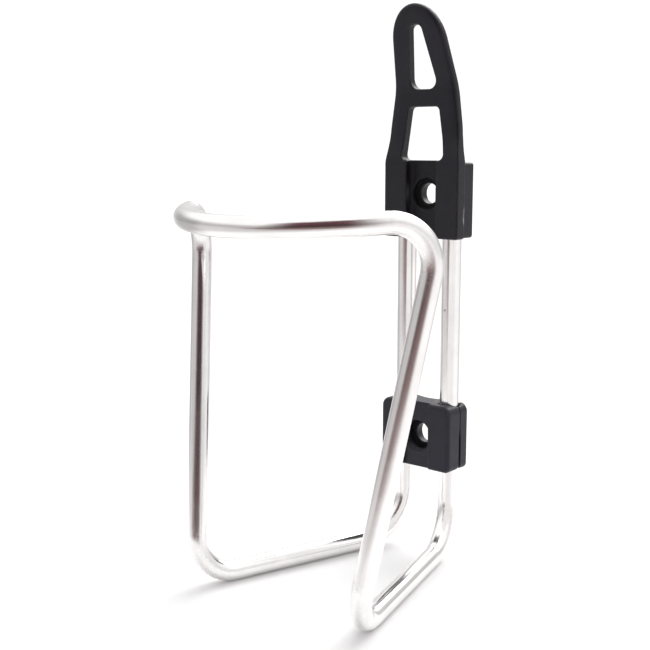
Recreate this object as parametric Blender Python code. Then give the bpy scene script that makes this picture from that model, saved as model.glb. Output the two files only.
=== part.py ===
"""Wire bottle cage for a bicycle frame.

One bent aluminium rod forms the whole basket: two rear legs, two floor runs,
two front legs and a hoop round the front. A nylon bracket with a spring
tongue holds both ends of the rod, and a nylon mount block slides on the two
rear legs. Both nylon parts have a counterbored bolt hole on the centre plane.

Axes: +Z up, the frame tube side is +Y, the bottle side is -Y, +X is right.
Z = 0 is the level the floor runs rest on. The driving sizes are millimetres
and their Y values are counted from the rear legs; the finished part is moved
by ORIGIN_Y so that the origin is under the middle of its bounding box.
"""
import math

import bmesh
import bpy
from mathutils import Matrix, Vector
from mathutils.geometry import delaunay_2d_cdt

for old in list(bpy.data.objects):
    bpy.data.objects.remove(old, do_unlink=True)

MM = 0.001
ORIGIN_Y = 36.77       # rear leg plane behind the origin

# ---------------------------------------------------------------- rod
ROD_R = 2.5            # rod radius
LEG_X = 7.1            # rear leg centre from the centre plane
LEG_TOP = 101.0        # height of the rod ends, inside the upper bracket
HEEL_R = 13.0          # centre-line bend radius, rear leg to floor run
TOE_X = 24.95          # front bottom corner of the centre line
TOE_Y = -61.8
TOE_R = 9.3            # centre-line bend radius, floor run to front leg
SHOULDER_R = 9.5       # centre-line bend radius, front leg to hoop
HOOP_A = 36.2          # hoop half width
HOOP_B = 39.15         # hoop half depth
HOOP_Y = -35.1         # hoop centre
HOOP_START = math.radians(34.2)   # where the hoop arc starts, from +X
HOOP_Z = 92.55         # height of the hoop at the start of the arc
HOOP_DROP = 0.0732     # fall of the hoop per unit travelled forward
ROD_SIDES = 24
ROD_END_CHAMFER = 0.4

# ---------------------------------------------------------------- fits
GAP = 0.3              # clearance between rod and nylon
BORE_R = ROD_R + GAP
HOLE_R = 2.65          # M5 bolt clearance hole
POCKET_R = 4.1         # counterbore for the bolt head
BOSS_SPACING = 64.0    # bolt hole spacing on the bicycle frame

# ---------------------------------------------------------------- upper bracket
UB_HOLE_Z = 95.75
UB_HALF_W = 11.6
UB_BOTTOM = 84.4
UB_SHOULDER = 104.0    # where the tongue starts to taper
UB_FACE_Y = -4.4       # front of the two ribs
TONGUE_FACE_Y = -3.55  # front of the straight part of the tongue
UB_SLAB = 2.55         # thickness of the tongue
TONGUE_TOP = 143.1
TONGUE_DOME_Z = 133.0  # centre height of the ellipse that ends the tongue
TONGUE_DOME_W = 7.7    # half width of that ellipse
TONGUE_DOME_START = 9  # degrees above level where it meets the tapered sides
TONGUE_BEND_Z = 122.6  # the tongue leans forward above this height
TONGUE_LEAN = 0.292    # forward travel per unit height
TONGUE_BEND_L = 5.0    # length over which the lean builds up
UB_BOX_HALF_W = 11.3
UB_BOX_FRONT = -2.0
UB_BACK_Y = 3.2
UB_BOX_BOTTOM = 84.6
UB_BOX_TOP = 103.8
UB_CHANNEL_X = 4.65
UB_FLOOR_X = 3.9
UB_FLOOR_Y = -1.9      # floor of the channel between the ribs
UB_POCKET_Y = -0.3     # floor of the counterbore
WINDOW_LOW = (104.3, 117.9, 6.75, 4.65)    # bottom z, top z, half widths
WINDOW_HIGH = (122.3, 138.0, 4.45, 1.75)

# ---------------------------------------------------------------- lower mount
LM_HOLE_Z = UB_HOLE_Z - BOSS_SPACING
LM_HALF_W = 11.0
LM_BOTTOM = 23.2
LM_TOP = 41.0
LM_FACE_Y = -5.75
LM_BACK_Y = 3.2
LM_CHANNEL_X = 4.3
LM_FLOOR_Y = -4.4
LM_POCKET_Y = -0.75
LM_SLIT_Y = -0.35      # split on each side face, open to the rod bore
LM_SLIT_TOP = 0.22
LM_SLIT_BOTTOM = 0.55
MOUTH_R = 3.25         # lead-in at both ends of each bore

# ---------------------------------------------------------------- saddle
SADDLE_HALF = 5.2      # half width of the hollow in the back face
UB_SADDLE_DEPTH = 1.1
LM_SADDLE_DEPTH = 1.8


# ================================================================ helpers
def material(name, colour, metallic, rough):
    m = bpy.data.materials.new(name)
    m.use_nodes = True
    b = m.node_tree.nodes["Principled BSDF"]
    b.inputs["Base Color"].default_value = (*colour, 1.0)
    b.inputs["Metallic"].default_value = metallic
    b.inputs["Roughness"].default_value = rough
    m.diffuse_color = (*colour, 1.0)
    return m


def add_object(name, bm, mat=None):
    bmesh.ops.recalc_face_normals(bm, faces=bm.faces[:])
    me = bpy.data.meshes.new(name)
    bm.to_mesh(me)
    bm.free()
    ob = bpy.data.objects.new(name, me)
    bpy.context.scene.collection.objects.link(ob)
    if mat is not None:
        me.materials.append(mat)
    return ob


def smooth(ob, degrees):
    me = ob.data
    for p in me.polygons:
        p.use_smooth = True
    me.set_sharp_from_angle(angle=math.radians(degrees))


def arc_points(a, b, c, radius, step_deg):
    """Round the corner b of the line a-b-c. Returns (point, tangent) pairs."""
    u = (a - b).normalized()
    v = (c - b).normalized()
    ang = u.angle(v)
    bis = (u + v).normalized()
    cen = b + bis * (radius / math.sin(ang / 2))
    t = radius / math.tan(ang / 2)
    w0 = (b + u * t - cen) / radius
    turn = math.pi - ang
    axis = u.cross(v).normalized()
    n = max(2, math.ceil(math.degrees(turn) / step_deg))
    out = []
    for k in range(n + 1):
        q = Matrix.Rotation(-turn * k / n, 3, axis)
        r = q @ w0
        out.append((cen + r * radius, (q @ -u).normalized()))
    return out


def rod_half(step_deg, hoop_steps):
    """Centre line of the right half, from the rod end to the hoop front."""
    top = Vector((LEG_X, 0, LEG_TOP))
    heel = Vector((LEG_X, 0, ROD_R))
    toe = Vector((TOE_X, TOE_Y, ROD_R))

    def hoop(t):
        x = HOOP_A * math.cos(t)
        y = HOOP_Y - HOOP_B * math.sin(t)
        z = HOOP_Z + HOOP_DROP * (y - y0)
        dx = -HOOP_A * math.sin(t)
        dy = -HOOP_B * math.cos(t)
        return Vector((x, y, z)), Vector((dx, dy, HOOP_DROP * dy)).normalized()

    y0 = HOOP_Y - HOOP_B * math.sin(HOOP_START)
    start, along = hoop(HOOP_START)
    reach = SHOULDER_R
    for _ in range(8):
        corner = start - along * reach
        ang = (toe - corner).angle(along)
        reach = SHOULDER_R / math.tan(ang / 2)
    corner = start - along * reach
    path = [(top, Vector((0, 0, -1)))]
    path += arc_points(top, heel, toe, HEEL_R, step_deg)
    path += arc_points(heel, toe, corner, TOE_R, step_deg)
    path += arc_points(toe, corner, start + along * 5, SHOULDER_R, step_deg)
    for k in range(1, hoop_steps + 1):
        t = HOOP_START + (math.pi / 2 - HOOP_START) * k / hoop_steps
        path.append(hoop(t))
    return path


def rod_path(step_deg, hoop_steps):
    half = rod_half(step_deg, hoop_steps)
    full = list(half)
    for p, t in reversed(half[:-1]):
        full.append((Vector((-p.x, p.y, p.z)), Vector((t.x, -t.y, -t.z))))
    return full


def tube(path, radius, sides, chamfer):
    """Closed round bar along the path."""
    bm = bmesh.new()
    side = Vector((1, 0, 0))
    first, last = path[0], path[-1]
    rings = [(first[0], first[1], radius - chamfer),
             (first[0] + first[1] * chamfer, first[1], radius)]
    rings += [(p, t, radius) for p, t in path[1:-1]]
    rings += [(last[0] - last[1] * chamfer, last[1], radius),
              (last[0], last[1], radius - chamfer)]
    loops = []
    for p, t, r in rings:
        side = (side - t * side.dot(t)).normalized()
        other = t.cross(side)
        loops.append([bm.verts.new(p + (side * math.cos(a) + other * math.sin(a)) * r)
                      for a in (2 * math.pi * k / sides for k in range(sides))])
    for lo, hi in zip(loops[:-1], loops[1:]):
        for k in range(sides):
            j = (k + 1) % sides
            bm.faces.new((lo[k], lo[j], hi[j], hi[k]))
    bm.faces.new(loops[0])
    bm.faces.new(list(reversed(loops[-1])))
    return bm


def round_corners(corners, step_deg=15.0, spacing=None):
    """Polygon from (x, z, radius) corners with every corner rounded."""
    pts = []
    n = len(corners)
    for i in range(n):
        ax, az, _ = corners[i - 1]
        bx, bz, r = corners[i]
        cx, cz, _ = corners[(i + 1) % n]
        a, b, c = Vector((ax, az, 0)), Vector((bx, bz, 0)), Vector((cx, cz, 0))
        if r <= 0 or abs((a - b).angle(c - b) - math.pi) < 0.01:
            pts.append((bx, bz))
            continue
        for p, _t in arc_points(a, b, c, r, step_deg):
            pts.append((p.x, p.y))
    if spacing:
        out = []
        for i in range(len(pts)):
            p, q = Vector(pts[i]), Vector(pts[(i + 1) % len(pts)])
            m = max(1, math.ceil((q - p).length / spacing))
            for k in range(m):
                out.append(tuple(p.lerp(q, k / m)))
        pts = out
    return pts


def signed_area(loop):
    return 0.5 * sum(a[0] * b[1] - b[0] * a[1]
                     for a, b in zip(loop, loop[1:] + loop[:1]))


def inset(loop, d):
    """Move a counter-clockwise loop inwards by d (outwards when negative)."""
    out = []
    n = len(loop)
    for i in range(n):
        a, b, c = Vector(loop[i - 1]), Vector(loop[i]), Vector(loop[(i + 1) % n])
        e0, e1 = (b - a).normalized(), (c - b).normalized()
        n0, n1 = Vector((-e0.y, e0.x)), Vector((-e1.y, e1.x))
        m = (n0 + n1).normalized()
        out.append(tuple(b + m * (d / max(0.5, m.dot(n0)))))
    return out


def inside(p, loop):
    hit = False
    n = len(loop)
    for i in range(n):
        x0, y0 = loop[i]
        x1, y1 = loop[(i + 1) % n]
        if (y0 > p[1]) != (y1 > p[1]):
            if p[0] < (x1 - x0) * (p[1] - y0) / (y1 - y0) + x0:
                hit = not hit
    return hit


def near(p, loop, d):
    for i in range(len(loop)):
        a, b = Vector(loop[i]), Vector(loop[(i + 1) % len(loop)])
        e = b - a
        t = max(0.0, min(1.0, (Vector(p) - a).dot(e) / max(e.length_squared, 1e-12)))
        if (Vector(p) - a - e * t).length < d:
            return True
    return False


def slab(outer, holes, face_y, back_y, r_front, r_back, r_hole, seg, pitch=None):
    """Plate with rounded rims between the surfaces face_y(z) and back_y(z)."""
    if signed_area(outer) < 0:
        outer = outer[::-1]
    holes = [h if signed_area(h) > 0 else h[::-1] for h in holes]

    def rings(rf, rb):
        out = []
        for k in range(seg + 1):
            a = math.pi / 2 * k / seg
            out.append((rf * (1 - math.sin(a)), face_y, rf * (1 - math.cos(a))))
        for k in range(seg + 1):
            a = math.pi / 2 * k / seg
            out.append((rb * (1 - math.cos(a)), back_y, -rb * (1 - math.sin(a))))
        return out

    bm = bmesh.new()

    def ring_verts(loop, surface, d):
        return [bm.verts.new((x, surface(z) + d, z)) for x, z in loop]

    front, back = [], []
    for j, loop in enumerate([outer] + holes):
        sign = 1 if j == 0 else -1
        rs = rings(r_front, r_back) if j == 0 else rings(r_hole, r_hole)
        rows = []
        for ins, surface, dep in rs:
            flat = inset(loop, sign * ins)
            rows.append((flat, ring_verts(flat, surface, dep)))
        for (_, lo), (_, hi) in zip(rows[:-1], rows[1:]):
            for k in range(len(lo)):
                m = (k + 1) % len(lo)
                bm.faces.new((lo[k], lo[m], hi[m], hi[k]))
        front.append(rows[0])
        back.append(rows[-1])

    for rows, surface in ((front, face_y), (back, back_y)):
        pts, verts, edges = [], [], []
        for flat, vv in rows:
            base = len(pts)
            pts += [Vector(p) for p in flat]
            verts += vv
            edges += [(base + k, base + (k + 1) % len(flat)) for k in range(len(flat))]
        if pitch:
            xs = [p[0] for p in rows[0][0]]
            zs = [p[1] for p in rows[0][0]]
            z = min(zs) + pitch
            while z < max(zs):
                x = math.ceil(min(xs) / pitch) * pitch
                while x < max(xs):
                    p = (x, z)
                    if inside(p, rows[0][0]) and not any(inside(p, f) for f, _ in rows[1:]):
                        if not any(near(p, f, pitch * 0.5) for f, _ in rows):
                            pts.append(Vector(p))
                            verts.append(bm.verts.new((x, surface(z), z)))
                    x += pitch
                z += pitch
        ov, _, faces, orig, _, _ = delaunay_2d_cdt(pts, edges, [], 0, 1e-6)
        for f in faces:
            c = (sum(ov[i][0] for i in f) / len(f), sum(ov[i][1] for i in f) / len(f))
            if inside(c, rows[0][0]) and not any(inside(c, fl) for fl, _ in rows[1:]):
                bm.faces.new([verts[orig[i][0]] for i in f])
    return bm


def prism(profile, lo, hi, axis):
    """Closed prism of a 2D profile along 'Y' or 'Z'."""
    bm = bmesh.new()

    def place(p, h):
        return (p[0], h, p[1]) if axis == "Y" else (p[0], p[1], h)

    a = [bm.verts.new(place(p, lo)) for p in profile]
    b = [bm.verts.new(place(p, hi)) for p in profile]
    n = len(profile)
    for k in range(n):
        m = (k + 1) % n
        bm.faces.new((a[k], a[m], b[m], b[k]))
    bm.faces.new(a)
    bm.faces.new(b[::-1])
    return bm


def lathe(profile, sides, origin, axis):
    """Closed turned body from (radius, height) pairs along 'Y' or 'Z'."""
    bm = bmesh.new()
    rows = []
    for r, h in profile:
        row = []
        for k in range(sides):
            a = 2 * math.pi * (k + 0.5) / sides
            c, s = r * math.cos(a), r * math.sin(a)
            if axis == "Y":
                row.append(bm.verts.new((origin[0] + c, h, origin[2] + s)))
            else:
                row.append(bm.verts.new((origin[0] + c, origin[1] + s, h)))
        rows.append(row)
    for lo, hi in zip(rows[:-1], rows[1:]):
        for k in range(sides):
            m = (k + 1) % sides
            bm.faces.new((lo[k], lo[m], hi[m], hi[k]))
    bm.faces.new(rows[0])
    bm.faces.new(rows[-1][::-1])
    return bm


def joined(parts):
    out = bmesh.new()
    for b in parts:
        me = bpy.data.meshes.new("tmp")
        b.to_mesh(me)
        b.free()
        out.from_mesh(me)
        bpy.data.meshes.remove(me)
    return out


def cutter(name, bm):
    ob = add_object(name, bm)
    scale(ob)
    ob.hide_render = True
    ob.display_type = "WIRE"
    return ob


def scale(ob):
    ob.data.transform(Matrix.Scale(MM, 4) @ Matrix.Translation((0, ORIGIN_Y, 0)))


def boolean(ob, other, operation):
    mod = ob.modifiers.new(other.name, "BOOLEAN")
    mod.operation = operation
    mod.object = other
    mod.solver = "EXACT"


def saddle(back_y, depth, lo, hi):
    """Cylinder that hollows the back face between the two rod bores."""
    r = (SADDLE_HALF ** 2 + depth ** 2) / (2 * depth)
    cy = back_y - depth + r
    half = math.asin(SADDLE_HALF / r) * 1.12
    n = 14
    prof = [(r * math.sin(a), cy - r * math.cos(a))
            for a in (-half + 2 * half * k / n for k in range(n + 1))]
    prof += [(prof[-1][0], back_y + 6), (prof[0][0], back_y + 6)]
    return prism(prof, lo, hi, "Z")


def bores(lo, hi, mouth_lo, mouth_hi, sides):
    """Both rod bores, with a flared mouth where they leave the nylon."""
    flare = MOUTH_R - BORE_R
    prof = []
    if mouth_lo:
        prof += [(MOUTH_R + 1.0, lo - 1.0), (MOUTH_R, lo), (BORE_R, lo + flare * 1.3)]
    else:
        prof += [(BORE_R, lo)]
    if mouth_hi:
        prof += [(BORE_R, hi - flare * 1.3), (MOUTH_R, hi), (MOUTH_R + 1.0, hi + 1.0)]
    else:
        prof += [(BORE_R, hi)]
    return joined([lathe(prof, sides, (s * LEG_X, 0, 0), "Z") for s in (-1, 1)])


# ================================================================ materials
ALU = material("aluminium", (0.80, 0.79, 0.78), 1.0, 0.22)
NYLON_U = material("nylon_upper", (0.022, 0.022, 0.024), 0.0, 0.45)
NYLON_L = material("nylon_lower", (0.024, 0.024, 0.026), 0.0, 0.48)

# ================================================================ rod
wire = add_object("wire_frame", tube(rod_path(7.5, 16), ROD_R, ROD_SIDES,
                                     ROD_END_CHAMFER), ALU)
scale(wire)
smooth(wire, 40)


# ================================================================ upper bracket
def lean(z):
    """Forward travel of the tongue at height z."""
    s = z - (TONGUE_BEND_Z - TONGUE_BEND_L / 2)
    if s > TONGUE_BEND_L:
        return TONGUE_LEAN * (s - TONGUE_BEND_L / 2)
    return TONGUE_LEAN * s * s / (2 * TONGUE_BEND_L) if s > 0 else 0.0


def upper_face(z):
    """Front surface of the slab: rib front, then tongue, then forward lean."""
    lo, hi = UB_SHOULDER - 1.0, UB_SHOULDER + 6.5
    t = max(0.0, min(1.0, (z - lo) / (hi - lo)))
    t = t * t * (3 - 2 * t)
    return UB_FACE_Y + (TONGUE_FACE_Y - UB_FACE_Y) * t - lean(z)


def upper_back(z):
    """Back surface of the slab, in one plane up to the forward lean."""
    return TONGUE_FACE_Y + UB_SLAB - lean(z)


dome = []
for k in range(13):
    a = math.radians(TONGUE_DOME_START + (180 - 2 * TONGUE_DOME_START) * k / 12)
    dome.append((TONGUE_DOME_W * math.cos(a),
                 TONGUE_DOME_Z + (TONGUE_TOP - TONGUE_DOME_Z) * math.sin(a), 0))
outer = round_corners([
    (-UB_HALF_W, UB_BOTTOM, 0.7), (UB_HALF_W, UB_BOTTOM, 0.7),
    (UB_HALF_W, UB_SHOULDER, 6.0), (10.45, 111.0, 20.0), (8.95, 123.0, 60.0)]
    + dome + [(-8.95, 123.0, 60.0), (-10.45, 111.0, 20.0),
              (-UB_HALF_W, UB_SHOULDER, 6.0)], 12.0, 1.9)
windows = []
for z0, z1, w0, w1 in (WINDOW_LOW, WINDOW_HIGH):
    r0 = 1.5 if z0 < 110 else 2.4
    r1 = 1.3 if z0 < 110 else 1.55
    windows.append(round_corners([(-w0, z0, r0), (w0, z0, r0), (w1, z1, r1),
                                  (-w1, z1, r1)], 18.0, 2.2))
front = slab(outer, windows, upper_face, upper_back, 0.6, 0.4, 0.35, 3, 2.4)
upper = add_object("upper_bracket", front, NYLON_U)
scale(upper)

box = slab(round_corners([
    (-UB_BOX_HALF_W, UB_BOX_BOTTOM, 0.8), (UB_BOX_HALF_W, UB_BOX_BOTTOM, 0.8),
    (UB_BOX_HALF_W, UB_BOX_TOP, 0.8), (-UB_BOX_HALF_W, UB_BOX_TOP, 0.8)], 18.0),
    [], lambda z: UB_BOX_FRONT, lambda z: UB_BACK_Y, 0.2, 0.4, 0.3, 3)
ub_box = cutter("cut_ub_box", box)
boolean(upper, ub_box, "UNION")

channel = prism([(-UB_CHANNEL_X, -9), (UB_CHANNEL_X, -9), (UB_CHANNEL_X, -3.0),
                 (UB_CHANNEL_X - 0.27, -2.3), (UB_FLOOR_X, UB_FLOOR_Y),
                 (-UB_FLOOR_X, UB_FLOOR_Y), (-UB_CHANNEL_X + 0.27, -2.3),
                 (-UB_CHANNEL_X, -3.0)], UB_BOTTOM - 3, WINDOW_LOW[0] + 1.2, "Z")
boolean(upper, cutter("cut_ub_channel", channel), "DIFFERENCE")
boolean(upper, cutter("cut_ub_saddle", saddle(UB_BACK_Y, UB_SADDLE_DEPTH,
                                              UB_BOTTOM - 3, UB_BOX_TOP + 3)), "DIFFERENCE")
bolt = lathe([(POCKET_R, -8.0), (POCKET_R, UB_POCKET_Y), (HOLE_R, UB_POCKET_Y),
              (HOLE_R, 8.0)], 36, (0, 0, UB_HOLE_Z), "Y")
boolean(upper, cutter("cut_ub_bolt", bolt), "DIFFERENCE")
boolean(upper, cutter("cut_ub_bores", bores(UB_BOTTOM, LEG_TOP + GAP, True, False,
                                            32)), "DIFFERENCE")
smooth(upper, 40)

# ================================================================ lower mount
lm_outline = round_corners([
    (-LM_HALF_W, LM_BOTTOM, 1.5), (LM_HALF_W, LM_BOTTOM, 1.5),
    (LM_HALF_W, LM_TOP, 2.4), (-LM_HALF_W, LM_TOP, 2.4)], 15.0)
lower = add_object("lower_mount", slab(
    lm_outline, [], lambda z: LM_FACE_Y, lambda z: LM_BACK_Y, 1.0, 0.6, 0.5, 4),
    NYLON_L)
scale(lower)

boolean(lower, cutter("cut_lm_channel", prism(
    [(-LM_CHANNEL_X, -9), (LM_CHANNEL_X, -9), (LM_CHANNEL_X, LM_FLOOR_Y),
     (-LM_CHANNEL_X, LM_FLOOR_Y)], LM_BOTTOM - 3, LM_TOP + 3, "Z")), "DIFFERENCE")
boolean(lower, cutter("cut_lm_saddle", saddle(LM_BACK_Y, LM_SADDLE_DEPTH,
                                              LM_BOTTOM - 3, LM_TOP + 3)), "DIFFERENCE")
boolean(lower, cutter("cut_lm_bolt", lathe(
    [(POCKET_R, -8.0), (POCKET_R, LM_POCKET_Y), (HOLE_R, LM_POCKET_Y),
     (HOLE_R, 8.0)], 36, (0, 0, LM_HOLE_Z), "Y")), "DIFFERENCE")
boolean(lower, cutter("cut_lm_bores", bores(LM_BOTTOM, LM_TOP, True, True, 32)),
        "DIFFERENCE")


def slit(side):
    """Tapered split from the side face into the rod bore."""
    bm = bmesh.new()
    rows = []
    for z, w in ((LM_BOTTOM - 2, LM_SLIT_BOTTOM), (LM_TOP + 2, LM_SLIT_TOP)):
        x0, x1 = side * (LEG_X + 1.6), side * (LM_HALF_W + 3)
        rows.append([bm.verts.new(p) for p in (
            (x0, LM_SLIT_Y - w / 2, z), (x1, LM_SLIT_Y - w / 2, z),
            (x1, LM_SLIT_Y + w / 2, z), (x0, LM_SLIT_Y + w / 2, z))])
    lo, hi = rows
    for k in range(4):
        m = (k + 1) % 4
        bm.faces.new((lo[k], lo[m], hi[m], hi[k]))
    bm.faces.new(lo)
    bm.faces.new(hi[::-1])
    return bm


boolean(lower, cutter("cut_lm_slits", joined([slit(-1), slit(1)])), "DIFFERENCE")
smooth(lower, 40)
lower.data.update()
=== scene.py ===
"""Looks for the wire bottle cage: fine meshes, materials, camera and studio.

Sizes below are millimetres in the part's own frame before its shift: Y counts
from the rear legs, and SHIFT_Y moves it to the row frame.
"""
import math

import bmesh
import bpy
import numpy as np
from mathutils import Matrix, Vector

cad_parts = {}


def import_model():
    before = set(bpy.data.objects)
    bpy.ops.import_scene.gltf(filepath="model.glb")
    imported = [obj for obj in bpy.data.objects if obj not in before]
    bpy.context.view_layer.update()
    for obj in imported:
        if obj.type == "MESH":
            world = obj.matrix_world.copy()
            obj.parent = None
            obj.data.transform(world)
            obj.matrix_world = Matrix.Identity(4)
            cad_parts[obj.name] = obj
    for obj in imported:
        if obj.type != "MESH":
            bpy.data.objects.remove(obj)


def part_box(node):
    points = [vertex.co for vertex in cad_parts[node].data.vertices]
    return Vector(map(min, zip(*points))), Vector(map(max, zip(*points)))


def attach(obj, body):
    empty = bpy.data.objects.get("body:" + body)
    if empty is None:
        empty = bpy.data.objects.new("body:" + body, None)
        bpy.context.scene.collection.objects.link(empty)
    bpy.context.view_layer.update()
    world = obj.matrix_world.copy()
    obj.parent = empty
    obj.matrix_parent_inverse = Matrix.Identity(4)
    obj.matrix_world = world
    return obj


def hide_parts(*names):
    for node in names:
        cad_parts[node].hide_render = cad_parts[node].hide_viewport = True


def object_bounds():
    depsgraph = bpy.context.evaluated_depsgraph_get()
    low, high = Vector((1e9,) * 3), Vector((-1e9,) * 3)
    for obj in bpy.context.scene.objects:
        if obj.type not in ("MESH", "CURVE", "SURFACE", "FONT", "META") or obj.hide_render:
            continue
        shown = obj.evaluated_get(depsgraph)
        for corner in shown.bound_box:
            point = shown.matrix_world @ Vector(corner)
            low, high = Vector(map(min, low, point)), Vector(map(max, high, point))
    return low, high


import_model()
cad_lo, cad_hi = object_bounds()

MM = 0.001
# the rear legs' plane, read off the frame: the mount's back face is 3.2 behind it
SHIFT_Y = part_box("lower_mount")[1].y / MM - 3.2

# ------------------------------------------------------------ sizes, as in CAD
ROD_R, LEG_X, LEG_TOP = 2.5, 7.1, 101.0
HEEL_R, TOE_R, SHOULDER_R = 13.0, 9.3, 9.5
TOE_X, TOE_Y = 24.95, -61.8
HOOP_A, HOOP_B, HOOP_Y = 36.2, 39.15, -35.1
HOOP_START, HOOP_Z, HOOP_DROP = math.radians(34.2), 92.55, 0.0732
BORE_R, HOLE_R, POCKET_R, MOUTH_R = 2.8, 2.65, 4.1, 3.25
UB = dict(hole_z=95.75, half=11.6, bottom=84.4, shoulder=104.0, face=-4.4,
          tongue=-3.55, thick=2.55, top=143.1, dome_z=133.0, dome_w=7.7,
          dome_start=9.0, bend_z=122.6, lean=0.292, bend_l=5.0, box_half=11.3,
          box_front=-2.0, back=3.2, box_bottom=84.6, box_top=103.8,
          channel=4.65, floor_x=3.9, floor_y=-1.9, pocket=-0.3, saddle=1.1)
WINDOWS = ((104.3, 117.9, 6.75, 4.65, 1.5, 1.3), (122.3, 138.0, 4.45, 1.75, 2.4, 1.55))
LM = dict(hole_z=31.75, half=11.0, bottom=23.2, top=41.0, face=-5.75, back=3.2,
          channel=4.3, floor_y=-4.4, pocket=-0.75, slit_y=-0.35, slit_top=0.22,
          slit_bottom=0.85, saddle=1.8, mouth=3.3)
SADDLE_HALF = 5.2


# ============================================================ outlines
def rounded(corners, step=4.0):
    """Polygon from (x, z, radius) corners, each corner an arc."""
    pts = []
    n = len(corners)
    for i in range(n):
        a = np.array(corners[i - 1][:2], float)
        b = np.array(corners[i][:2], float)
        c = np.array(corners[(i + 1) % n][:2], float)
        r = corners[i][2]
        u, v = a - b, c - b
        u /= np.linalg.norm(u)
        v /= np.linalg.norm(v)
        ang = math.acos(max(-1.0, min(1.0, float(u @ v))))
        if r <= 0 or ang > math.pi - 0.01:
            pts.append(tuple(b))
            continue
        bis = (u + v) / np.linalg.norm(u + v)
        cen = b + bis * r / math.sin(ang / 2)
        t = r / math.tan(ang / 2)
        a0 = math.atan2(*((b + u * t - cen)[::-1]))
        a1 = math.atan2(*((b + v * t - cen)[::-1]))
        d = (a1 - a0 + math.pi) % (2 * math.pi) - math.pi
        m = max(2, math.ceil(abs(math.degrees(d)) / step))
        for k in range(m + 1):
            q = a0 + d * k / m
            pts.append((cen[0] + r * math.cos(q), cen[1] + r * math.sin(q)))
    return np.array(pts)


def poly_dist(px, pz, poly):
    """Signed distance to a closed polygon, negative inside."""
    best = np.full(px.shape, 1e9)
    odd = np.zeros(px.shape, bool)
    n = len(poly)
    for i in range(n):
        ax, az = poly[i]
        bx, bz = poly[(i + 1) % n]
        ex, ez = bx - ax, bz - az
        l2 = ex * ex + ez * ez
        if l2 < 1e-14:
            continue
        t = np.clip(((px - ax) * ex + (pz - az) * ez) / l2, 0, 1)
        best = np.minimum(best, (px - ax - ex * t) ** 2 + (pz - az - ez * t) ** 2)
        if abs(ez) > 1e-12:
            cross = ((az > pz) != (bz > pz)) & (px < ex * (pz - az) / ez + ax)
            odd ^= cross
    d = np.sqrt(best)
    return np.where(odd, -d, d)


# ============================================================ solid fields
def rmax(a, b, r):
    """Intersection of two fields whose shared edge has radius r."""
    u, v = a + r, b + r
    return (np.minimum(np.maximum(u, v), 0)
            + np.sqrt(np.maximum(u, 0) ** 2 + np.maximum(v, 0) ** 2) - r)


def rmin(a, b, r):
    return -rmax(-a, -b, r)


def cut(f, g, r):
    """Take the solid g out of f, with edge radius r."""
    return rmax(f, -g, r)


def step(t):
    t = np.clip(t, 0, 1)
    return t * t * (3 - 2 * t)


def cyl_y(x, z, cz, r):
    return np.sqrt(x ** 2 + (z - cz) ** 2) - r


def rod_bore(x, y, z, lo, hi, mouth_lo, mouth_hi, mouth=MOUTH_R):
    """Both rod bores with flared mouths."""
    rad = np.sqrt((np.abs(x) - LEG_X) ** 2 + y ** 2)
    r = BORE_R + 0 * z
    flare = mouth - BORE_R
    if mouth_lo:
        r = r + flare * (1 - step((z - lo) / (flare * 1.7)))
    if mouth_hi:
        r = r + flare * (1 - step((hi - z) / (flare * 1.7)))
    d = rad - r
    if not mouth_hi:
        d = rmax(d, z - hi, 0.15)
    return d


def saddle_field(x, y, back, depth):
    r = (SADDLE_HALF ** 2 + depth ** 2) / (2 * depth)
    return np.sqrt(x ** 2 + (y - (back - depth + r)) ** 2) - r


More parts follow.
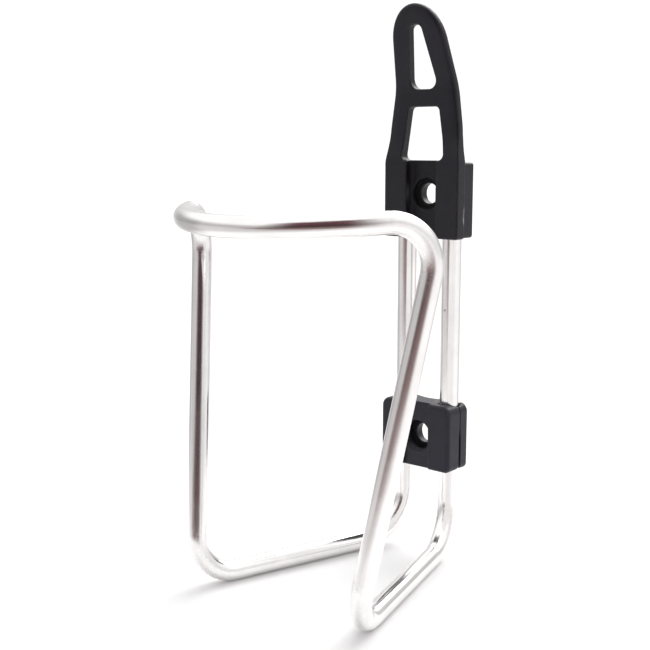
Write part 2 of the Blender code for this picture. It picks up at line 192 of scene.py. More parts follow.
def upper_field():
    u = UB
    dome = []
    for k in range(49):
        a = math.radians(u["dome_start"] + (180 - 2 * u["dome_start"]) * k / 48)
        dome.append((u["dome_w"] * math.cos(a),
                     u["dome_z"] + (u["top"] - u["dome_z"]) * math.sin(a), 0))
    right = [(u["half"], u["bottom"], 0.7), (u["half"], u["shoulder"], 6.0),
             (10.45, 111.0, 20.0), (8.95, 123.0, 60.0)]
    outer = rounded([(-u["half"], u["bottom"], 0.7)] + right + dome
                    + [(-p[0], p[1], p[2]) for p in right[:0:-1]])
    holes = [rounded([(-w0, z0, r0), (w0, z0, r0), (w1, z1, r1), (-w1, z1, r1)])
             for z0, z1, w0, w1, r0, r1 in WINDOWS]
    fx, fy = u["floor_x"], u["floor_y"]
    chan = np.array([(-u["channel"], -12), (u["channel"], -12), (u["channel"], -3.0),
                     (u["channel"] - 0.27, -2.3), (fx, fy), (-fx, fy),
                     (-u["channel"] + 0.27, -2.3), (-u["channel"], -3.0)])

    def lean(z):
        s = z - (u["bend_z"] - u["bend_l"] / 2)
        return u["lean"] * np.where(s > u["bend_l"], s - u["bend_l"] / 2,
                                    np.where(s > 0, s * s / (2 * u["bend_l"]), 0))

    def field(x, y, z):
        wide = 1 - 0.045 * step((z - 106) / 8)
        d2 = poly_dist(*np.broadcast_arrays(x * wide, z), outer)
        ln = lean(z)
        face = (u["face"] + (u["tongue"] - u["face"])
                * step((z - u["shoulder"] + 1.0) / 7.5) - ln)
        back = u["tongue"] + u["thick"] - ln
        # the rails of the tongue fall away towards their outer edge
        inside = np.clip(-d2, 0, 3.0) / 3.0
        face = face + 0.42 * (1 - inside) ** 2 * step((z - 106) / 8)
        # the outer rim of the tongue is soft at the dome and crisper at the ribs
        r_out = 0.35 + 0.55 * step((z - 104) / 20) + 0 * x
        f = rmax(d2, face - y, r_out)
        f = rmax(f, y - back, 0.45)
        box = rmax(rmax(np.abs(x) - u["box_half"],
                        np.maximum(u["box_bottom"] - z, z - u["box_top"]), 0.7),
                   np.maximum(u["box_front"] - y, y - u["back"]), 0.35)
        f = np.minimum(f, box)
        # windows go through the slab only
        for h in holes:
            hd = poly_dist(*np.broadcast_arrays(x, z), h)
            hd = rmax(hd, y - (back + 0.9), 0.05) if h[:, 1].min() < 110 else hd
            f = cut(f, hd, 0.32)
        ch = poly_dist(*np.broadcast_arrays(x, y), chan)
        f = cut(f, rmax(ch, z - (WINDOWS[0][0] + 1.2), 0.3), 0.22)
        f = cut(f, saddle_field(x, y, u["back"], u["saddle"]), 0.3)
        pocket = np.maximum(cyl_y(x, z, u["hole_z"], POCKET_R), y - u["pocket"])
        f = cut(f, pocket, 0.18)
        f = cut(f, cyl_y(x, z, u["hole_z"], HOLE_R), 0.15)
        return cut(f, rod_bore(x, y, z, u["bottom"], LEG_TOP + 0.3, True, False), 0.1)

    return field, (-12.2, -12.2, 83.8), (12.2, 3.9, 143.8)


def lower_field():
    m = LM
    outline = rounded([(-m["half"], m["bottom"], 1.5), (m["half"], m["bottom"], 1.5),
                       (m["half"], m["top"], 2.4), (-m["half"], m["top"], 2.4)])

    def field(x, y, z):
        d2 = poly_dist(*np.broadcast_arrays(x, z), outline)
        f = rmax(d2, m["face"] - y, 1.0)
        f = rmax(f, y - m["back"], 0.6)
        f = cut(f, np.maximum(np.abs(x) - m["channel"], y - m["floor_y"]), 0.3)
        f = cut(f, saddle_field(x, y, m["back"], m["saddle"]), 0.45)
        pocket = np.maximum(cyl_y(x, z, m["hole_z"], POCKET_R), y - m["pocket"])
        f = cut(f, pocket, 0.2)
        f = cut(f, cyl_y(x, z, m["hole_z"], HOLE_R), 0.18)
        f = cut(f, rod_bore(x, y, z, m["bottom"], m["top"], True, True,
                            m["mouth"]), 0.55)
        half = 0.5 * (m["slit_bottom"] + (m["slit_top"] - m["slit_bottom"])
                      * step((z - 31.0) / 4.5))
        slit = np.maximum(np.abs(y - m["slit_y"]) - half, LEG_X + 1.6 - np.abs(x))
        return cut(f, slit, 0.07)

    return field, (-11.6, -6.4, 22.6), (11.6, 3.8, 41.6)


# ============================================================ field to mesh
def net(field, lo, hi, pitch):
    """Quad mesh on the zero level of the field, its corners moved onto it."""
    ax = [np.arange(l, h + p, p) for l, h, p in zip(lo, hi, pitch)]
    X, Y, Z = ax[0][:, None, None], ax[1][None, :, None], ax[2][None, None, :]
    F = np.empty((len(ax[0]), len(ax[1]), len(ax[2])), np.float32)
    for j in range(len(ax[1])):
        F[:, j, :] = np.broadcast_to(field(X[:, 0, :], Y[0, j, 0] + 0 * X[:, 0, :],
                                           Z[0, 0, :][None, :] + 0 * X[:, 0, :]),
                                     F[:, j, :].shape)
    S = F < 0
    n = np.array(F.shape) - 1
    cnt = np.zeros(n, np.int8)
    for i in (0, 1):
        for j in (0, 1):
            for k in (0, 1):
                cnt += S[i:n[0] + i, j:n[1] + j, k:n[2] + k]
    cells = np.argwhere((cnt > 0) & (cnt < 8))
    index = -np.ones(n, np.int64)
    index[tuple(cells.T)] = np.arange(len(cells))
    total = np.zeros((len(cells), 3))
    hits = np.zeros(len(cells))
    corner = [(i, j, k) for i in (0, 1) for j in (0, 1) for k in (0, 1)]
    for a in corner:
        for axis in range(3):
            if a[axis]:
                continue
            b = list(a)
            b[axis] = 1
            fa = F[tuple((cells + a).T)].astype(float)
            fb = F[tuple((cells + b).T)].astype(float)
            on = (fa < 0) != (fb < 0)
            t = np.where(on, fa / np.where(on, fa - fb, 1), 0)
            p = np.array(a, float)[None, :].repeat(len(cells), 0)
            p[:, axis] += t
            total[on] += p[on]
            hits[on] += 1
    local = total / hits[:, None]
    P = np.array([ax[i][0] for i in range(3)]) + (cells + local) * np.array(pitch)
    quads = []
    for axis in range(3):
        o = [i for i in range(3) if i != axis]
        m = list(F.shape)
        sl_a, sl_b = [slice(None)] * 3, [slice(None)] * 3
        sl_a[axis], sl_b[axis] = slice(0, m[axis] - 1), slice(1, m[axis])
        for i in o:
            sl_a[i] = sl_b[i] = slice(1, m[i] - 1)
        A, B = S[tuple(sl_a)], S[tuple(sl_b)]
        e = np.argwhere(A != B)
        flip = A[tuple(e.T)]
        for i in o:
            e[:, i] += 1
        d1, d2 = np.zeros(3, int), np.zeros(3, int)
        d1[o[0]], d2[o[1]] = 1, 1
        q = np.stack([index[tuple((e - d1 - d2).T)], index[tuple((e - d2).T)],
                      index[tuple(e.T)], index[tuple((e - d1).T)]], 1)
        turn = flip if axis != 1 else ~flip
        q[~turn] = q[~turn][:, ::-1]
        quads.append(q)
    Q = np.concatenate(quads)

    def grad(P, h=0.02):
        g = np.empty_like(P)
        for i in range(3):
            d = np.zeros(3)
            d[i] = h
            g[:, i] = (field(*(P + d).T) - field(*(P - d).T)) / (2 * h)
        return g

    for _ in range(3):
        g = grad(P)
        f = field(*P.T)
        move = -(f / np.maximum((g * g).sum(1), 0.25))[:, None] * g
        size = np.linalg.norm(move, axis=1, keepdims=True)
        P += move * np.minimum(1, 0.5 * min(pitch) / np.maximum(size, 1e-9))
    h = 0.3
    bend = -6 * field(*P.T)
    for i in range(3):
        d = np.zeros(3)
        d[i] = h
        bend += field(*(P + d).T) + field(*(P - d).T)
    return P, Q, bend / h ** 2


def to_object(name, P, Q, attributes=()):
    V = P.copy()
    V[:, 1] += SHIFT_Y
    me = bpy.data.meshes.new(name)
    me.from_pydata((V * MM).tolist(), [], Q if isinstance(Q, list) else Q.tolist())
    me.validate(verbose=False)
    for key, kind, values in attributes:
        at = me.attributes.new(key, kind, "POINT")
        at.data.foreach_set("value" if kind == "FLOAT" else "vector",
                            np.asarray(values, np.float32).ravel())
    bm = bmesh.new()
    bm.from_mesh(me)
    bmesh.ops.recalc_face_normals(bm, faces=bm.faces[:])
    bm.to_mesh(me)
    bm.free()
    me.shade_smooth()
    ob = bpy.data.objects.new(name, me)
    bpy.context.scene.collection.objects.link(ob)
    return ob


# ============================================================ rod
def bend_arc(a, b, c, radius, step_deg):
    u, v = (a - b).normalized(), (c - b).normalized()
    ang = u.angle(v)
    cen = b + (u + v).normalized() * (radius / math.sin(ang / 2))
    w0 = (b + u * (radius / math.tan(ang / 2)) - cen) / radius
    turn = math.pi - ang
    axis = u.cross(v).normalized()
    n = max(2, math.ceil(math.degrees(turn) / step_deg))
    out = []
    for k in range(n + 1):
        q = Matrix.Rotation(-turn * k / n, 3, axis)
        out.append((cen + (q @ w0) * radius, (q @ -u).normalized(), 1.0))
    return out


def rod_line():
    """Centre line of the whole rod as (point, tangent, 1 in a tight bend)."""
    top, heel = Vector((LEG_X, 0, LEG_TOP)), Vector((LEG_X, 0, ROD_R))
    toe = Vector((TOE_X, TOE_Y, ROD_R))
    y0 = HOOP_Y - HOOP_B * math.sin(HOOP_START)

    def hoop(t):
        y = HOOP_Y - HOOP_B * math.sin(t)
        dx, dy = -HOOP_A * math.sin(t), -HOOP_B * math.cos(t)
        return (Vector((HOOP_A * math.cos(t), y, HOOP_Z + HOOP_DROP * (y - y0))),
                Vector((dx, dy, HOOP_DROP * dy)).normalized())

    start, along = hoop(HOOP_START)
    reach = SHOULDER_R
    for _ in range(8):
        corner = start - along * reach
        reach = SHOULDER_R / math.tan((toe - corner).angle(along) / 2)
    corner = start - along * reach
    path = [(top, Vector((0, 0, -1)), 0.0)]
    path += bend_arc(top, heel, toe, HEEL_R, 2.0)
    path += bend_arc(heel, toe, corner, TOE_R, 2.0)
    path += bend_arc(toe, corner, start + along * 5, SHOULDER_R, 2.0)
    for k in range(1, 65):
        t = HOOP_START + (math.pi / 2 - HOOP_START) * k / 64
        path.append((*hoop(t), 0.0))
    full = list(path)
    for p, t, b in reversed(path[:-1]):
        full.append((Vector((-p.x, p.y, p.z)), Vector((t.x, -t.y, -t.z)), b))
    # long straight runs get rings of their own
    out = [full[0]]
    for (p, t, b), (q, s, c) in zip(full[:-1], full[1:]):
        gap = (q - p).length
        if gap < 1e-6:
            continue
        m = max(1, math.ceil(gap / 1.2))
        for k in range(1, m + 1):
            w = k / m
            straight = b if m == 1 else (b * max(0, 1 - w * gap / 5)
                                         + c * max(0, 1 - (1 - w) * gap / 5))
            out.append((p.lerp(q, w), t.lerp(s, w).normalized(),
                        c if k == m else min(1, straight)))
    return out


def rod_mesh(sides=56):
    line = rod_line()
    side = Vector((1, 0, 0))
    P, co, bend = [], [], []
    run = 0.0
    rings = []
    for i, (p, t, b) in enumerate(line):
        if i:
            run += (p - line[i - 1][0]).length
        rings.append((p, t, b, run))
    total = run
    ends = []
    for k in range(5):                       # rounded rod ends
        a = math.pi / 2 * k / 4
        ends.append((0.5 * (1 - math.sin(a)), ROD_R - 0.5 * (1 - math.cos(a))))
    ends = ends[::-1]                        # (distance from the end, radius)
    seq = [(rings[0][0] + rings[0][1] * d, rings[0][1], 0.0, d, r) for d, r in ends]
    seq += [(p, t, b, s, ROD_R) for p, t, b, s in rings if 0.6 < s < total - 0.6]
    seq += [(rings[-1][0] - rings[-1][1] * d, rings[-1][1], 0.0, total - d, r)
            for d, r in ends[::-1]]
    seq.sort(key=lambda q: q[3])
    for p, t, b, s, r in seq:
        side = (side - t * side.dot(t)).normalized()
        other = t.cross(side)
        for k in range(sides):
            a = 2 * math.pi * k / sides
            n = side * math.cos(a) + other * math.sin(a)
            P.append(p + n * r)
            co.append((math.cos(a) * r, math.sin(a) * r, s))
            bend.append(b)
    Q = []
    rows = len(seq)
    for i in range(rows - 1):
        for k in range(sides):
            j = (k + 1) % sides
            Q.append((i * sides + k, i * sides + j, (i + 1) * sides + j,
                      (i + 1) * sides + k))
    faces = [list(q) for q in Q]
    for row, rev in ((0, True), (rows - 1, False)):
        c = len(P)
        P.append(seq[row][0])
        co.append((0, 0, seq[row][3]))
        bend.append(0.0)
        for k in range(sides):
            j = (k + 1) % sides
            a, b = row * sides + k, row * sides + j
            faces.append([c, b, a] if rev else [c, a, b])
    return np.array([tuple(p) for p in P]), faces, np.array(co), np.array(bend)


rodP, rodF, rodco, rodbend = rod_mesh()
rod = to_object("wire_rod", rodP, rodF,
                [("rod_co", "FLOAT_VECTOR", rodco * MM), ("rod_bend", "FLOAT", rodbend)])

pitch_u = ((0.23, 0.2, 0.23))
pitch_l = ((0.2, 0.11, 0.2))
f_u, lo_u, hi_u = upper_field()
P, Q, bend = net(f_u, lo_u, hi_u, pitch_u)



def painted_recess_shade(P, hole_z, floor_y, channel, top):
    """Mask of painted shade: 1 on the counterbore floor and wall, less on the channel floor."""
    r = np.hypot(P[:, 0], P[:, 2] - hole_z)
    bore = step((r - 2.7) / 0.25) * (1 - step((r - 4.0) / 0.3)) * (P[:, 1] > floor_y + 0.1)
    bore *= P[:, 1] < 1.5
    flat = step((channel + 0.25 - np.abs(P[:, 0])) / 0.5) * step((P[:, 1] - floor_y + 1.2) / 0.6)
    flat *= (P[:, 2] < top) & (P[:, 1] < floor_y + 0.3)
    return np.maximum(bore, 0.5 * flat)


# per-point mask of painted shade for the counterbores and channel floor
bracket = to_object("bracket", P, Q, [("convex", "FLOAT", bend), (
    "painted_recess_shade", "FLOAT", painted_recess_shade(P, UB["hole_z"], UB["floor_y"], UB["channel"], 105.3))])
f_l, lo_l, hi_l = lower_field()
P, Q, bend = net(f_l, lo_l, hi_l, pitch_l)
mount = to_object("mount_block", P, Q, [("convex", "FLOAT", bend), (
    "painted_recess_shade", "FLOAT", painted_recess_shade(P, LM["hole_z"], LM["floor_y"], 0.0, 0.0))])


# ============================================================ materials
class Nodes:
    """Short way to write a node tree."""

    def __init__(self, name):
        self.mat = bpy.data.materials.new(name)
        self.mat.use_nodes = True
        self.t = self.mat.node_tree
        self.bsdf = self.t.nodes["Principled BSDF"]

    def new(self, kind, **props):
        n = self.t.nodes.new(kind)
        for k, v in props.items():
            setattr(n, k, v)
        return n

    def link(self, a, b):
        self.t.links.new(a, b)

    def put(self, socket, value):
        if isinstance(value, bpy.types.NodeSocket):
            self.link(value, socket)
        else:
            socket.default_value = value

    def math(self, op, a, b=0.0, c=0.0, clamp=False):
        n = self.new("ShaderNodeMath", operation=op, use_clamp=clamp)
        for s, v in zip(n.inputs, (a, b, c)):
            self.put(s, v)
        return n.outputs[0]

    def scaled(self, vec, s):
        n = self.new("ShaderNodeVectorMath", operation="MULTIPLY")
        self.put(n.inputs[0], vec)
        n.inputs[1].default_value = s
        return n.outputs[0]

    def noise(self, vec, scale, detail=4.0, rough=0.55, distortion=0.0):
        n = self.new("ShaderNodeTexNoise")
        self.put(n.inputs["Vector"], vec)
        n.inputs["Scale"].default_value = scale
        n.inputs["Detail"].default_value = detail
        n.inputs["Roughness"].default_value = rough
        n.inputs["Distortion"].default_value = distortion
        return n.outputs["Fac"]

    def cells(self, vec, scale, feature="F1"):
        n = self.new("ShaderNodeTexVoronoi", feature=feature)
        self.put(n.inputs["Vector"], vec)
        n.inputs["Scale"].default_value = scale
        return n

    def span(self, value, a, b, c=0.0, d=1.0, smooth=True):
        n = self.new("ShaderNodeMapRange")
        n.interpolation_type = "SMOOTHSTEP" if smooth else "LINEAR"
        self.put(n.inputs[0], value)
        for i, v in zip((1, 2, 3, 4), (a, b, c, d)):
            n.inputs[i].default_value = v
        return n.outputs[0]

    def mix(self, fac, a, b):
        n = self.new("ShaderNodeMix", data_type="RGBA")
        self.put(n.inputs[0], fac)
        self.put(n.inputs[6], a)
        self.put(n.inputs[7], b)
        return n.outputs[2]

    def bump(self, height, strength, distance, normal=None):
        n = self.new("ShaderNodeBump")
        n.inputs["Strength"].default_value = strength
        n.inputs["Distance"].default_value = distance
        self.put(n.inputs["Height"], height)
        if normal is not None:
            self.link(normal, n.inputs["Normal"])
        return n.outputs["Normal"]


def aluminium():
    m = Nodes("drawn_aluminium")
    co = m.new("ShaderNodeAttribute", attribute_name="rod_co").outputs["Vector"]
    at_bend = m.new("ShaderNodeAttribute", attribute_name="rod_bend").outputs["Fac"]
    b = m.bsdf
    b.inputs["Metallic"].default_value = 1.0
    # draw lines run along the rod
    fine = m.noise(m.scaled(co, (1.0, 1.0, 0.012)), 5200, 3, 0.6)
    broad = m.noise(m.scaled(co, (1.0, 1.0, 0.03)), 1300, 3, 0.5)
    cloud = m.noise(co, 95, 5, 0.6, 0.4)
    hand = m.noise(m.scaled(co, (1.0, 1.0, 0.35)), 380, 4, 0.6)
    # sparse pits and nicks
    pit = m.cells(m.scaled(co, (1.0, 1.0, 0.8)), 330)
    seed = m.new("ShaderNodeSeparateColor")
    m.link(pit.outputs["Color"], seed.inputs[0])
    rare = m.math("GREATER_THAN", seed.outputs[0], 0.955)
    dot = m.math("MULTIPLY", m.span(pit.outputs["Distance"], 0.07, 0.17, 1.0, 0.0), rare)
    nick = m.cells(m.scaled(co, (1.0, 1.0, 0.16)), 210)
    seed2 = m.new("ShaderNodeSeparateColor")
    m.link(nick.outputs["Color"], seed2.inputs[0])
    rare2 = m.math("GREATER_THAN", seed2.outputs[1], 0.955)
    scratch = m.math("MULTIPLY", m.span(nick.outputs["Distance"], 0.03, 0.09, 1.0, 0.0), rare2)
    marks = m.math("MAXIMUM", dot, scratch)
    # the skin of the metal opens up a little where it was bent
    peel = m.noise(co, 1700, 3, 0.65)
    tone = m.mix(m.span(cloud, 0.35, 0.7), (0.905, 0.895, 0.89, 1), (0.83, 0.815, 0.81, 1))
    tone = m.mix(m.math("MULTIPLY", m.span(broad, 0.45, 0.75), 0.25), tone, (0.72, 0.70, 0.70, 1))
    tone = m.mix(m.math("MULTIPLY", marks, 0.85), tone, (0.16, 0.145, 0.14, 1))
    m.link(tone, b.inputs["Base Color"])
    rough = m.math("ADD", m.span(fine, 0.3, 0.75, 0.115, 0.19), m.span(cloud, 0.4, 0.7, 0.0, 0.06))
    rough = m.math("ADD", rough, m.math("MULTIPLY", at_bend, m.span(peel, 0.3, 0.7, 0.0, 0.10)))
    rough = m.math("ADD", rough, m.math("MULTIPLY", marks, 0.3), clamp=True)
    m.link(rough, b.inputs["Roughness"])
    n = m.bump(fine, 0.10, 0.00002)
    n = m.bump(hand, 0.22, 0.00012, n)
    n = m.bump(m.math("MULTIPLY", peel, at_bend), 0.25, 0.00006, n)
    n = m.bump(m.math("SUBTRACT", 1.0, marks), 0.7, 0.00009, n)
    m.link(n, b.inputs["Normal"])
    return m.mat


def nylon(name, seed, base, light, scuffs):
    """Moulded black nylon, with painted shade in its recesses and a painted highlight in its edge
    wear. scuffs are (x, y, z, rx, ry, rz) patches in metres.
    """
    m = Nodes(name)
    tex = m.new("ShaderNodeTexCoord")
    shift = m.new("ShaderNodeVectorMath", operation="ADD")
    m.link(tex.outputs["Object"], shift.inputs[0])
    shift.inputs[1].default_value = (seed, seed * 0.7, seed * 1.3)
    co = shift.outputs[0]
    convex = m.new("ShaderNodeAttribute", attribute_name="convex").outputs["Fac"]
    b = m.bsdf
    b.inputs["Metallic"].default_value = 0.0
    b.inputs["IOR"].default_value = 1.48
    recess_shade_fac = m.new("ShaderNodeAttribute", attribute_name="painted_recess_shade").outputs["Fac"]
    b.inputs["Specular IOR Level"].default_value = 0.36
    grain = m.noise(co, 4200, 2, 0.6)
    pebble = m.noise(co, 1500, 3, 0.55)
    cloud = m.noise(co, 110, 4, 0.6, 0.5)
    flow = m.noise(m.scaled(co, (1.0, 1.0, 0.25)), 240, 3, 0.5, 0.8)
    # convex edges are made lighter in patches: partly edge wear, partly a painted highlight along the
    # edges
    edge = m.math("MULTIPLY", m.span(convex, 0.5, 2.6), m.span(m.noise(co, 620, 4, 0.7), 0.42, 0.68))
    wear_and_highlight = m.math("MULTIPLY", edge, 0.07)
    streak = m.noise(m.scaled(co, (1.0, 2.4, 0.30)), 2600, 2, 0.5)
    scuff = None
    for x, y, z, rx, ry, rz in scuffs:
        off = m.new("ShaderNodeVectorMath", operation="SUBTRACT")
        m.link(tex.outputs["Object"], off.inputs[0])
        off.inputs[1].default_value = (x, y, z)
        near = m.new("ShaderNodeVectorMath", operation="LENGTH")
        m.link(m.scaled(off.outputs[0], (1 / rx, 1 / ry, 1 / rz)), near.inputs[0])
        patch = m.math("MULTIPLY", m.span(near.outputs["Value"], 0.4, 1.0, 1.0, 0.0),
                       m.span(streak, 0.46, 0.56))
        scuff = patch if scuff is None else m.math("MAXIMUM", scuff, patch)
    # faint rubs on the faces
    rub = m.math("MULTIPLY", m.span(m.noise(m.scaled(co, (0.5, 1.0, 1.6)), 950, 3, 0.6), 0.66, 0.78),
                 m.span(cloud, 0.5, 0.65))
    tone = m.mix(m.span(cloud, 0.3, 0.7), (*base, 1), (*[v * 1.5 for v in base], 1))
    tone = m.mix(m.math("MULTIPLY", rub, 0.35), tone, (*[v * 4 for v in base], 1))
    tone = m.mix(wear_and_highlight, tone, (*light, 1))
    if scuff is not None:
        tone = m.mix(scuff, tone, (0.34, 0.33, 0.33, 1))
    # painted shade: the counterbores and channel floor are darkened towards near-black
    tone = m.mix(m.math("MULTIPLY", recess_shade_fac, 0.75), tone, (0.0006, 0.0006, 0.0007, 1))
    m.link(tone, b.inputs["Base Color"])
    rough = m.math("ADD", m.span(pebble, 0.3, 0.7, 0.36, 0.47), m.span(cloud, 0.35, 0.7, -0.03, 0.05))
    rough = m.math("ADD", rough, m.math("MULTIPLY", wear_and_highlight, 0.18), clamp=True)
    # the same painted-shade mask also makes the recesses rougher
    rough = m.math("ADD", rough, m.math("MULTIPLY", recess_shade_fac, 0.3))
    m.link(rough, b.inputs["Roughness"])
    n = m.bump(flow, 0.12, 0.00010)
    n = m.bump(pebble, 0.20, 0.00005, n)
    n = m.bump(grain, 0.20, 0.00002, n)
    m.link(n, b.inputs["Normal"])
    return m.mat


SY = SHIFT_Y * MM
rod.data.materials.append(aluminium())
bracket.data.materials.append(nylon(
    "moulded_nylon_upper", 0.31, (0.0044, 0.0038, 0.0078), (0.13, 0.128, 0.126),
    [(0.0113, -0.0014 + SY, 0.0903, 0.0012, 0.0007, 0.0032)]))
mount.data.materials.append(nylon(
    "moulded_nylon_lower", 0.77, (0.0068, 0.0060, 0.0125), (0.13, 0.128, 0.126), []))

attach(rod, "cage")
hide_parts("wire_frame")
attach(bracket, "cage")
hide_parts("upper_bracket")
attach(mount, "lower_mount")
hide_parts("lower_mount")


# ============================================================ camera
AZ, EL = math.radians(40.56), math.radians(9.2)
back = Vector((math.sin(AZ) * math.cos(EL), -math.cos(AZ) * math.cos(EL), math.sin(EL)))
right = Vector((math.cos(AZ), math.sin(AZ), 0))
up = back.cross(right)
cam = bpy.data.cameras.new("camera")
cam.sensor_width = 36.0
cam.lens = 1129.9 / 650 * 36.0
cam.clip_start, cam.clip_end = 0.01, 50
camera = bpy.data.objects.new("camera", cam)
camera.matrix_world = Matrix(((right.x, up.x, back.x, 0.17194),
                              (right.y, up.y, back.y, -0.20628),
                              (right.z, up.z, back.z, 0.10899), (0, 0, 0, 1)))
bpy.context.scene.collection.objects.link(camera)
bpy.context.scene.camera = camera


# ============================================================ studio
def stage_material(name, build):
    m = bpy.data.materials.new(name)
    m.use_nodes = True
    t = m.node_tree
    t.nodes.clear()
    build(t, t.nodes.new("ShaderNodeOutputMaterial"))
    return m


def plane(name, corners):
    me = bpy.data.meshes.new(name)
    me.from_pydata([tuple(c) for c in corners], [], [(0, 1, 2, 3)])
    uv = me.uv_layers.new(name="UVMap")
    for i, c in enumerate(((0, 0), (1, 0), (1, 1), (0, 1))):
        uv.data[i].uv = c
    ob = bpy.data.objects.new(name, me)
    bpy.context.scene.collection.objects.link(ob)
    return ob


towards = Vector((math.sin(AZ), -math.cos(AZ), 0))


def surround(t, direction):
    """Colour of the room by direction: greyer to the left, and dimmer in two
    zones behind the object on either side."""
    def span(socket, a, b, c, d):
        n = t.nodes.new("ShaderNodeMapRange")
        n.interpolation_type = "SMOOTHSTEP"
        t.links.new(socket, n.inputs[0])
        for i, v in zip((1, 2, 3, 4), (a, b, c, d)):
            n.inputs[i].default_value = v
        return n.outputs[0]

    def dot(axis):
        n = t.nodes.new("ShaderNodeVectorMath")
        n.operation = "DOT_PRODUCT"
        t.links.new(direction, n.inputs[0])
        n.inputs[1].default_value = tuple(axis)
        return n.outputs["Value"]

    def combine(op, a, b):
        n = t.nodes.new("ShaderNodeMath")
        n.operation = op
        t.links.new(a, n.inputs[0])
        t.links.new(b, n.inputs[1])
        return n.outputs[0]

    ramp = t.nodes.new("ShaderNodeValToRGB")
    t.links.new(span(dot(right), -1.0, 1.0, 0.0, 1.0), ramp.inputs[0])
    ramp.color_ramp.elements[0].color = (0.60, 0.585, 0.585, 1)
    ramp.color_ramp.elements[1].color = (0.87, 0.86, 0.86, 1)
    mid = ramp.color_ramp.elements.new(0.5)
    mid.color = (0.77, 0.755, 0.755, 1)
    behind = dot(towards)
    dim = combine("MINIMUM", span(behind, -0.95, -0.80, 0.0, 1.0),
                  span(behind, -0.45, -0.22, 1.0, 0.0))
    keep = t.nodes.new("ShaderNodeMath")
    keep.operation = "MULTIPLY_ADD"
    t.links.new(dim, keep.inputs[0])
    keep.inputs[1].default_value, keep.inputs[2].default_value = -0.30, 1.0
    n = t.nodes.new("ShaderNodeVectorMath")
    n.operation = "SCALE"
    t.links.new(ramp.outputs[0], n.inputs[0])
    t.links.new(keep.outputs[0], n.inputs["Scale"])
    return n.outputs["Vector"]


def floor_nodes(t, out):
    b = t.nodes.new("ShaderNodeBsdfDiffuse")
    b.inputs["Color"].default_value = (0.93, 0.925, 0.925, 1)
    geo = t.nodes.new("ShaderNodeNewGeometry")
    unit = t.nodes.new("ShaderNodeVectorMath")
    unit.operation = "NORMALIZE"
    t.links.new(geo.outputs["Position"], unit.inputs[0])
    far = t.nodes.new("ShaderNodeVectorMath")
    far.operation = "LENGTH"
    t.links.new(geo.outputs["Position"], far.inputs[0])
    away = t.nodes.new("ShaderNodeMapRange")
    away.interpolation_type = "SMOOTHSTEP"
    t.links.new(far.outputs["Value"], away.inputs[0])
    away.inputs[1].default_value, away.inputs[2].default_value = 0.10, 0.22
    tone = t.nodes.new("ShaderNodeMix")
    tone.data_type = "RGBA"
    t.links.new(away.outputs[0], tone.inputs[0])
    tone.inputs[6].default_value = (0.97, 0.965, 0.965, 1)
    t.links.new(surround(t, unit.outputs[0]), tone.inputs[7])
    grey = t.nodes.new("ShaderNodeBsdfDiffuse")
    t.links.new(tone.outputs[2], grey.inputs["Color"])
    # painted shade seen only in reflections: near the object the reflected floor is almost white,
    # further out greyer to the left and dimmer behind; seen directly it stays evenly pale
    path = t.nodes.new("ShaderNodeLightPath")
    mix = t.nodes.new("ShaderNodeMixShader")
    t.links.new(path.outputs["Is Glossy Ray"], mix.inputs[0])
    t.links.new(b.outputs[0], mix.inputs[1])
    t.links.new(grey.outputs[0], mix.inputs[2])
    t.links.new(mix.outputs[0], out.inputs[0])


floor = plane("floor", [(-4, -4, -0.0001), (4, -4, -0.0001), (4, 4, -0.0001), (-4, 4, -0.0001)])
floor.data.materials.append(stage_material("floor", floor_nodes))


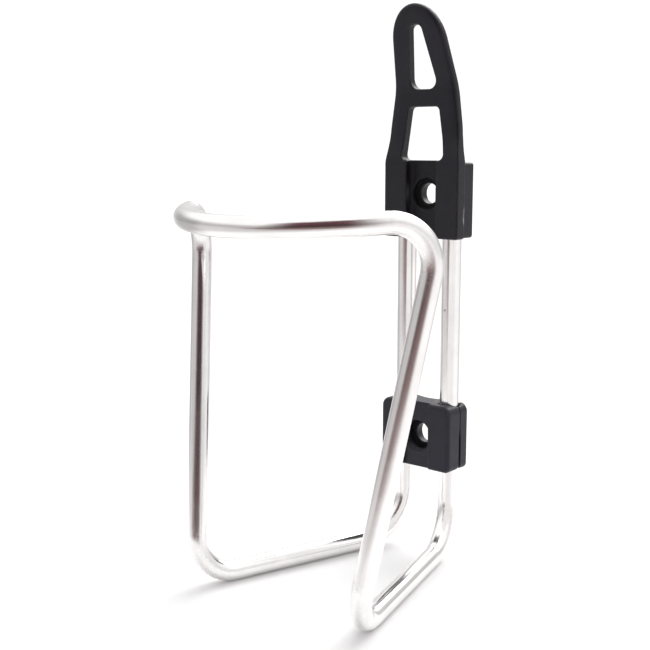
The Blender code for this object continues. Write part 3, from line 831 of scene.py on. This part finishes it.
def flag_nodes(height, tones, rise):
    """Dark surroundings on the camera side. tones are (position, colour) along the
    height of the wall or the distance on the floor, in parts of `height`; rise is
    (fade in start, end, fade out start, end) in metres along the same way."""
    def build(t, out):
        def math_node(op, a, b, c=None):
            n = t.nodes.new("ShaderNodeMath")
            n.operation = op
            for k, v in enumerate((a, b, c)):
                if v is None:
                    continue
                if isinstance(v, bpy.types.NodeSocket):
                    t.links.new(v, n.inputs[k])
                else:
                    n.inputs[k].default_value = v
            return n.outputs[0]

        def fade(socket, lo, hi, c=0.0, d=1.0):
            n = t.nodes.new("ShaderNodeMapRange")
            n.interpolation_type = "SMOOTHSTEP"
            t.links.new(socket, n.inputs[0])
            for k, v in zip((1, 2, 3, 4), (lo, hi, c, d)):
                n.inputs[k].default_value = v
            return n.outputs[0]

        def dot(axis):
            n = t.nodes.new("ShaderNodeVectorMath")
            n.operation = "DOT_PRODUCT"
            t.links.new(geo.outputs["Position"], n.inputs[0])
            n.inputs[1].default_value = tuple(axis)
            return n.outputs["Value"]

        geo = t.nodes.new("ShaderNodeNewGeometry")
        ahead, z = dot(towards), dot((0, 0, 1))
        turn = math_node("DIVIDE", dot(right), ahead)
        # low down the dark reaches further round to the left
        left = math_node("MULTIPLY", math_node("MINIMUM", turn, 0.0),
                         fade(z, 0.0, 0.25, 0.5, 1.0))
        fac = math_node("MULTIPLY", fade(left, -1.5, -0.45), fade(turn, 0.85, 0.10))
        way = z if height > 1.0 else ahead
        a0, a1, b0, b1 = rise
        if a1 > a0:
            fac = math_node("MULTIPLY", fac, fade(way, a0, a1))
        if b1 > b0:
            fac = math_node("MULTIPLY", fac, fade(way, b1, b0))
        ramp = t.nodes.new("ShaderNodeValToRGB")
        t.links.new(math_node("DIVIDE", way, height), ramp.inputs[0])
        e = ramp.color_ramp.elements
        while len(e) < len(tones):
            e.new(0.5)
        for k, (pos, colour) in enumerate(tones):
            e[k].position = pos
            e[k].color = (*colour, 1)
        glow = t.nodes.new("ShaderNodeEmission")
        t.links.new(ramp.outputs[0], glow.inputs[0])
        clear = t.nodes.new("ShaderNodeBsdfTransparent")
        mix = t.nodes.new("ShaderNodeMixShader")
        t.links.new(fac, mix.inputs[0])
        t.links.new(clear.outputs[0], mix.inputs[1])
        t.links.new(glow.outputs[0], mix.inputs[2])
        t.links.new(mix.outputs[0], out.inputs[0])
    return build


def only_in_reflections(ob):
    ob.visible_camera = ob.visible_diffuse = ob.visible_shadow = False
    ob.visible_transmission = ob.visible_volume_scatter = False


def at(s, t, z):
    """s metres from the object towards the camera side, t metres to its right."""
    return towards * s + right * t + Vector((0, 0, z))


card = plane("flag_wall", [at(0.95, -2.9, 0.0), at(0.95, 0.9, 0.0),
                           at(0.95, 0.9, 2.0), at(0.95, -2.9, 2.0)])
card.data.materials.append(stage_material("flag_wall", flag_nodes(
    2.0, ((0.0, (0.26, 0.18, 0.172)), (0.06, (0.125, 0.084, 0.08)),
          (0.12, (0.046, 0.032, 0.033)), (0.28, (0.112, 0.041, 0.049))),
    (0, 0, 1.0, 1.95))))
only_in_reflections(card)
low = plane("flag_floor", [at(0.08, -2.9, 0.0008), at(0.08, 0.9, 0.0008),
                           at(0.95, 0.9, 0.0008), at(0.95, -2.9, 0.0008)])
low.data.materials.append(stage_material("flag_floor", flag_nodes(
    0.95, ((0.0, (0.27, 0.19, 0.18)), (1.0, (0.26, 0.18, 0.172))),
    (0.10, 0.50, 0, 0))))
only_in_reflections(low)
# light card behind the front legs, for the rear legs alone
fill = plane("fill_card", [at(0.005, 0.011, 0.001), at(0.005, 0.055, 0.001),
                           at(0.005, 0.055, 0.083), at(0.005, 0.011, 0.083)])


def fill_nodes(t, out):
    e = t.nodes.new("ShaderNodeEmission")
    e.inputs[0].default_value = (0.98, 0.965, 0.965, 1)
    geo = t.nodes.new("ShaderNodeNewGeometry")
    clear = t.nodes.new("ShaderNodeBsdfTransparent")
    mix = t.nodes.new("ShaderNodeMixShader")
    t.links.new(geo.outputs["Backfacing"], mix.inputs[0])
    t.links.new(clear.outputs[0], mix.inputs[1])
    t.links.new(e.outputs[0], mix.inputs[2])
    t.links.new(mix.outputs[0], out.inputs[0])


fill.data.materials.append(stage_material("fill_card", fill_nodes))
only_in_reflections(fill)


def world():
    w = bpy.data.worlds.new("studio")
    w.use_nodes = True
    t = w.node_tree
    t.nodes.clear()
    out = t.nodes.new("ShaderNodeOutputWorld")
    tc = t.nodes.new("ShaderNodeTexCoord")
    path = t.nodes.new("ShaderNodeLightPath")

    def background(strength):
        n = t.nodes.new("ShaderNodeBackground")
        n.inputs[0].default_value = (1, 0.995, 0.995, 1)
        n.inputs[1].default_value = strength
        return n

    def choose(fac, a, b):
        n = t.nodes.new("ShaderNodeMixShader")
        t.links.new(fac, n.inputs[0])
        t.links.new(a.outputs[0], n.inputs[1])
        t.links.new(b.outputs[0], n.inputs[2])
        return n

    room = background(1.0)
    t.links.new(surround(t, tc.outputs["Generated"]), room.inputs[0])
    # the ceiling is brighter than the walls
    sep = t.nodes.new("ShaderNodeSeparateXYZ")
    t.links.new(tc.outputs["Generated"], sep.inputs[0])
    high = t.nodes.new("ShaderNodeMapRange")
    high.interpolation_type = "SMOOTHSTEP"
    t.links.new(sep.outputs[2], high.inputs[0])
    high.inputs[1].default_value, high.inputs[2].default_value = 0.16, 0.52
    glossy = choose(high.outputs[0], room, background(1.2))
    rest = choose(path.outputs["Is Camera Ray"], background(0.83), background(1.06))
    both = choose(path.outputs["Is Glossy Ray"], rest, glossy)
    t.links.new(both.outputs[0], out.inputs[0])
    bpy.context.scene.world = w


world()


def area(name, where, target, size, power):
    d = bpy.data.lights.new(name, "AREA")
    d.shape = "RECTANGLE"
    d.size, d.size_y = size
    d.energy = power
    ob = bpy.data.objects.new(name, d)
    ob.location = where
    ob.rotation_mode = "QUATERNION"
    ob.rotation_quaternion = (Vector(where) - Vector(target)).to_track_quat("Z", "Y")
    bpy.context.scene.collection.objects.link(ob)
    return ob


centre = (cad_lo + cad_hi) / 2
area("top_softbox", (0.0, 0.12, 0.85), centre, (0.7, 0.7), 0.8)


def window_light(name, degrees, elevation, strength, spread):
    """Wide distant light, its direction counted from the camera to the right."""
    a, e = math.radians(degrees), math.radians(elevation)
    d = bpy.data.lights.new(name, "SUN")
    d.energy = strength
    d.angle = math.radians(spread)
    ob = bpy.data.objects.new(name, d)
    way = (towards * math.cos(a) + right * math.sin(a)) * math.cos(e)
    ob.rotation_mode = "QUATERNION"
    ob.rotation_quaternion = (way + Vector((0, 0, math.sin(e)))).to_track_quat("Z", "Y")
    bpy.context.scene.collection.objects.link(ob)


window_light("back_window", 150, 45, 1.75, 50)
bpy.context.scene.view_settings.view_transform = "Standard"
